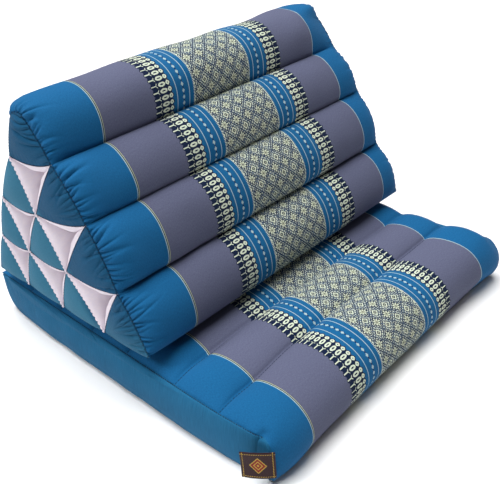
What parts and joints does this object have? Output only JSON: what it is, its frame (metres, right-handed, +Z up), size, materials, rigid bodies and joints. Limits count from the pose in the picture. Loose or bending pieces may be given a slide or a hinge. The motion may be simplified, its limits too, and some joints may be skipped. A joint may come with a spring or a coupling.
{
  "type": "thai triangle cushion with fold-out mat",
  "caption": "Floor cushion of sewn stuffed rolls forming a triangular backrest, standing on its own channelled fold-out mat.",
  "frame": {"origin": "on the floor under the middle of the mat", "axes": "+X along the rolls, +Y from the mat's front towards the backrest, +Z up"},
  "size_m": [0.5256, 0.5405, 0.3643],
  "materials": {
    "woven_cloth": "matt cotton woven in lengthwise bands: blue, slate violet, navy with cream motifs, and a cream and navy lattice",
    "blue_cloth": "plain matt blue cotton",
    "label_weave": "close dark ribbon weave with a small gold figure"
  },
  "bodies": {
    "root": {"triangle_body": "woven_cloth", "mat": "woven_cloth", "gusset_left": "blue_cloth", "gusset_right": "blue_cloth", "label": "label_weave", "patch_left_1": "blue_cloth", "patch_left_2": "blue_cloth", "patch_left_3": "blue_cloth", "patch_left_4": "blue_cloth", "patch_left_5": "blue_cloth", "patch_left_6": "blue_cloth", "patch_left_7": "blue_cloth", "patch_left_8": "blue_cloth", "patch_left_9": "blue_cloth", "patch_left_10": "blue_cloth", "patch_right_1": "blue_cloth", "patch_right_2": "blue_cloth", "patch_right_3": "blue_cloth", "patch_right_4": "blue_cloth", "patch_right_5": "blue_cloth", "patch_right_6": "blue_cloth", "patch_right_7": "blue_cloth", "patch_right_8": "blue_cloth", "patch_right_9": "blue_cloth", "patch_right_10": "blue_cloth"}
  },
  "joints": []
}
